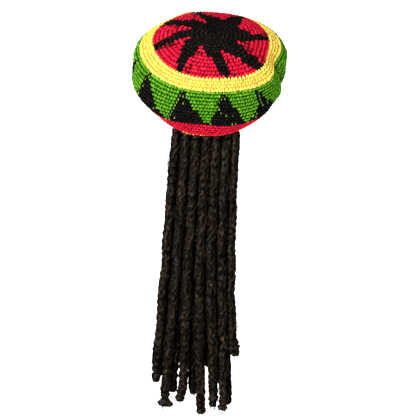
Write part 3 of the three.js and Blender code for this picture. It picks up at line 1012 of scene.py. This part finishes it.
    def frayed_end(self):
        """Short strands that spill from the lock's end."""
        source = self.source
        count = TIP_FIBRES
        s = np.linspace(0, 1, STRAND_RINGS)[None, :]
        theta = source.uniform(0, 2 * math.pi, (count, 1))
        theta = theta + source.uniform(-TIP_TURN, TIP_TURN, (count, 1)) * s
        begin = self.length - source.uniform(*TIP_STARTS, (count, 1))
        at = np.minimum(begin + TIP_REACH * s, self.length)
        lift = -TIP_SINK + source.uniform(*TIP_LIFTS, (count, 1)) * s**2
        line, outward = self.at(theta, at, lift)
        line[..., 2] -= TIP_FALL * source.uniform(0.1, 1, (count, 1)) ** 4 * s**2
        return self.tube(line, outward, WISP_THICKNESS)

    def strands(self, theta, drop, lift, thickness):
        line, outward = self.at(theta, drop, lift)
        return self.tube(line, outward, thickness)

    def tube(self, line, outward, thickness):
        """Three-sided tubes along lines, with a colour for each."""
        tangent = np.gradient(line, axis=1)
        tangent /= np.linalg.norm(tangent, axis=-1, keepdims=True) + TINY
        beside = np.cross(tangent, outward)
        beside /= np.linalg.norm(beside, axis=-1, keepdims=True) + TINY
        outward = np.cross(beside, tangent)
        s = np.linspace(0, 1, line.shape[1])
        inner = np.clip(s, STRAND_END, 1 - STRAND_END)
        thick = thickness * np.sin(math.pi * inner) ** STRAND_BLUNTNESS
        turn = (2 * math.pi * np.arange(STRAND_SIDES) / STRAND_SIDES)[:, None]
        ring = np.cos(turn) * outward[..., None, :] + np.sin(turn) * beside[..., None, :]
        points = line[..., None, :] + thick[None, :, None, None] * ring
        light = self.source.uniform(0, 1, (len(line), 1, 1)) ** STRAND_LIGHTNESS
        colours = FIBRE_DARK + (FIBRE_PALE_AND_HIGHLIGHT - FIBRE_DARK) * light
        shape = (len(line), line.shape[1] * STRAND_SIDES, 3)
        return points, np.broadcast_to(colours, shape).reshape(-1, 3)


def make_lock(lock, number):
    """One lock as a single piece: its rope, its fibres and all that springs from it."""
    rope_line = Rope(lock, number)
    parts = [
        (*rope_line.skin(), LOCK_SIDES),
        (*rope_line.fibres(), STRAND_SIDES),
        (*rope_line.wisps(WISPS[number - 1]), STRAND_SIDES),
        (*rope_line.frayed_end(), STRAND_SIDES),
        (*rope_line.loops(number), STRAND_SIDES),
        (*rope_line.curls(number), STRAND_SIDES),
    ]
    all_points = []
    all_faces = []
    all_places = []
    all_colours = []
    used = 0
    for points, colours, sides in parts:
        faces, places = tubes(points, sides)
        all_points.append(points.reshape(-1, 3))
        all_faces.append(faces + used)
        all_places.append(places)
        all_colours.append(colours)
        used += points.size // 3
    obj = new_mesh(
        f"lock_{number:02d}_rope",
        np.concatenate(all_points),
        np.concatenate(all_faces),
        np.concatenate(all_places),
        np.concatenate(all_colours),
    )
    obj.data.materials.append(rope)
    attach(obj, "root")
    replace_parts(obj, f"lock_{number:02d}")


# The locks' fibre: gloss and its warm tint, frizz a metre, its shades and how deep it is
FIBRE_ROUGHNESS = 0.4
FIBRE_GLOSS = 0.4
FIBRE_TINT = (1, 0.82, 0.68, 1)
FRIZZ_SCALE = 700
FRIZZ_STRETCH = (1, 1, 0.3)
FRIZZ_SHADES = (0.3, 0.7, 0.35, 1.6)
FRIZZ_BUMP_STRENGTH = 0.8
FRIZZ_BUMP_DEPTH = 0.001


def rope_material():
    """Dark matted fibre with fine crimped streaks."""
    material, nodes, links, shader = begin_material("lock_fibre", FIBRE_ROUGHNESS, FIBRE_GLOSS)
    shader.inputs["Specular Tint"].default_value = FIBRE_TINT
    spot = nodes.new("ShaderNodeTexCoord")
    stretch = nodes.new("ShaderNodeMapping")
    stretch.inputs["Scale"].default_value = FRIZZ_STRETCH
    links.new(spot.outputs["Object"], stretch.inputs["Vector"])
    frizz = fine_noise(nodes, links, FRIZZ_SCALE, stretch.outputs["Vector"])
    dress(nodes, links, shader, frizz, FRIZZ_SHADES, FRIZZ_BUMP_STRENGTH, FRIZZ_BUMP_DEPTH)
    return material


rope = rope_material()
for number, lock in enumerate(LOCKS, 1):
    make_lock(lock, number)


# The weft: a ribbed tape with the threads that hold the locks

TAPE_RIBS = 50
STEPS_A_RIB = 3
RIB_RELIEF = 0.035
TAPE_SIDES = 24
TAPE_SQUARENESS = 0.45
THREADS = 54
THREAD_RINGS = 9
THREAD_SIDES = 5
THREAD_RADIUS = 0.0005
THREAD_SAG = 0.0003
THREAD_SINK = 0.0002
THREAD_SPAN = 0.8
THREAD_FOOT = 0.12
THREAD_RISE = 0.76
TAPE_TONE = 0.006
THREAD_TONE = 0.02


def make_weft():
    steps = TAPE_RIBS * STEPS_A_RIB + 1
    azimuth = np.radians(np.linspace(WEFT_AZIMUTHS[0], WEFT_AZIMUTHS[-1], steps))[:, None]
    turn = (2 * math.pi * np.arange(TAPE_SIDES) / TAPE_SIDES)[None, :]
    rib = 1 - RIB_RELIEF * (1 + np.cos(2 * math.pi * np.arange(steps) / STEPS_A_RIB))[:, None]
    half_deep = (WEFT_THICKNESS / 2) * rib
    half_high = (WEFT_HEIGHT / 2) * rib
    out = half_deep * np.sign(np.cos(turn)) * np.abs(np.cos(turn)) ** TAPE_SQUARENESS
    up = half_high * np.sign(np.sin(turn)) * np.abs(np.sin(turn)) ** TAPE_SQUARENESS
    radius = WEFT_RADIUS - WEFT_THICKNESS / 2 + out
    height = WEFT_HEIGHT / 2 - WEFT_DROP + up
    points = np.stack([radius * np.sin(azimuth), -radius * np.cos(azimuth), height], axis=-1)
    points[0] = points[0].mean(axis=0)
    points[-1] = points[-1].mean(axis=0)
    tape_faces, tape_places = tubes(points[None], TAPE_SIDES)
    s = np.linspace(0, 1, THREAD_RINGS)[None, :]
    thread = np.arange(THREADS)[:, None]
    place = (thread + 0.5 + THREAD_SPAN * (s - 0.5)) / THREADS
    around = np.radians(WEFT_AZIMUTHS[0] + (WEFT_AZIMUTHS[-1] - WEFT_AZIMUTHS[0]) * place)
    inside = WEFT_RADIUS - WEFT_THICKNESS - THREAD_SAG * np.sin(math.pi * s)
    inside = inside + THREAD_SINK * np.ones_like(around)
    rise = np.where(thread % 2, s, 1 - s)
    level = -WEFT_DROP + WEFT_HEIGHT * (THREAD_FOOT + THREAD_RISE * rise)
    line = np.stack([inside * np.sin(around), -inside * np.cos(around), level], axis=-1)
    inward = np.stack([-np.sin(around), np.cos(around), np.zeros_like(around)], axis=-1)
    tangent = np.gradient(line, axis=1)
    tangent /= np.linalg.norm(tangent, axis=-1, keepdims=True)
    beside = np.cross(tangent, inward)
    angle = (2 * math.pi * np.arange(THREAD_SIDES) / THREAD_SIDES)[:, None]
    ring = np.cos(angle) * inward[..., None, :] + np.sin(angle) * beside[..., None, :]
    threads = line[..., None, :] + THREAD_RADIUS * ring
    thread_faces, thread_places = tubes(threads, THREAD_SIDES)
    points = points.reshape(-1, 3)
    threads = threads.reshape(-1, 3)
    tape_tones = np.full((len(points), 3), TAPE_TONE)
    tones = np.concatenate([tape_tones, np.full((len(threads), 3), THREAD_TONE)])
    obj = new_mesh(
        "weft_tape",
        np.concatenate([points, threads]),
        np.concatenate([tape_faces, thread_faces + len(points)]),
        np.concatenate([tape_places, thread_places]),
        tones,
    )
    obj.data.materials.append(black_yarn)
    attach(obj, "root")
    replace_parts(obj, "weft")


make_weft()


# Studio: the floor, the lights and the camera

FLOOR_HALF = 12
FLOOR_LEVEL = -1.25
FLOOR_TONE = (0.93, 0.93, 0.93)
FLOOR_GLOW = 0.4
FLOOR_ROUGHNESS = 0.9
SKY_STRENGTH = 0.64
# Lights: name, place, the point aimed at, diameter and watts
LIGHTS = [
    ("key", (-1.9, -2.1, 2.4), (0, 0, 0), 0.9, 190),
    ("fill", (2.3, -1.8, 2.0), (0, 0, 0), 0.9, 36),
    ("low", (-1.6, -2.8, -0.6), (0, 0, -0.25), 0.6, 30),
    ("back", (-1.2, 2.6, -0.35), (0, 0, -0.3), 0.9, 50),
]
VIEW_ELEVATION = math.radians(36)
VIEW_DISTANCE = 30.0
VIEW_WIDTH = 0.7056
VIEW_CENTRE = Vector((0, -0.105, -0.1445))
VIEW_DEPTH = 60
SENSOR_WIDTH = 36


def floor_material():
    material = bpy.data.materials.new("floor")
    material.use_nodes = True
    shader = material.node_tree.nodes["Principled BSDF"]
    shader.inputs["Base Color"].default_value = (*FLOOR_TONE, 1)
    shader.inputs["Roughness"].default_value = FLOOR_ROUGHNESS
    shader.inputs["Emission Color"].default_value = (*FLOOR_TONE, 1)
    shader.inputs["Emission Strength"].default_value = FLOOR_GLOW
    return material


corners = [(-1, -1), (1, -1), (1, 1), (-1, 1)]
floor_points = [(x * FLOOR_HALF, y * FLOOR_HALF, FLOOR_LEVEL) for x, y in corners]
floor = new_mesh("floor", np.array(floor_points), np.array([[0, 1, 2, 3]]))
floor.data.materials.append(floor_material())
floor.visible_glossy = False

world = bpy.data.worlds.new("studio")
world.use_nodes = True
world.node_tree.nodes["Background"].inputs["Color"].default_value = (1, 1, 1, 1)
world.node_tree.nodes["Background"].inputs["Strength"].default_value = SKY_STRENGTH
world.cycles_visibility.glossy = False
bpy.context.scene.world = world


def area_light(name, place, aim, size, power):
    light = bpy.data.lights.new(name, "AREA")
    light.shape = "DISK"
    light.size = size
    light.energy = power
    lamp = bpy.data.objects.new(name, light)
    lamp.location = place
    lamp.rotation_euler = (Vector(aim) - Vector(place)).to_track_quat("-Z", "Y").to_euler()
    bpy.context.scene.collection.objects.link(lamp)


for light_row in LIGHTS:
    area_light(*light_row)

camera_data = bpy.data.cameras.new("camera")
camera_data.sensor_width = SENSOR_WIDTH
camera_data.lens = SENSOR_WIDTH * VIEW_DISTANCE / VIEW_WIDTH
camera_data.clip_end = VIEW_DEPTH
camera = bpy.data.objects.new("camera", camera_data)
toward = Vector((0, -math.cos(VIEW_ELEVATION), math.sin(VIEW_ELEVATION)))
camera.location = VIEW_CENTRE + toward * VIEW_DISTANCE
camera.rotation_euler = (-toward).to_track_quat("-Z", "Y").to_euler()
bpy.context.scene.collection.objects.link(camera)
bpy.context.scene.camera = camera
bpy.context.scene.view_settings.view_transform = "Standard"
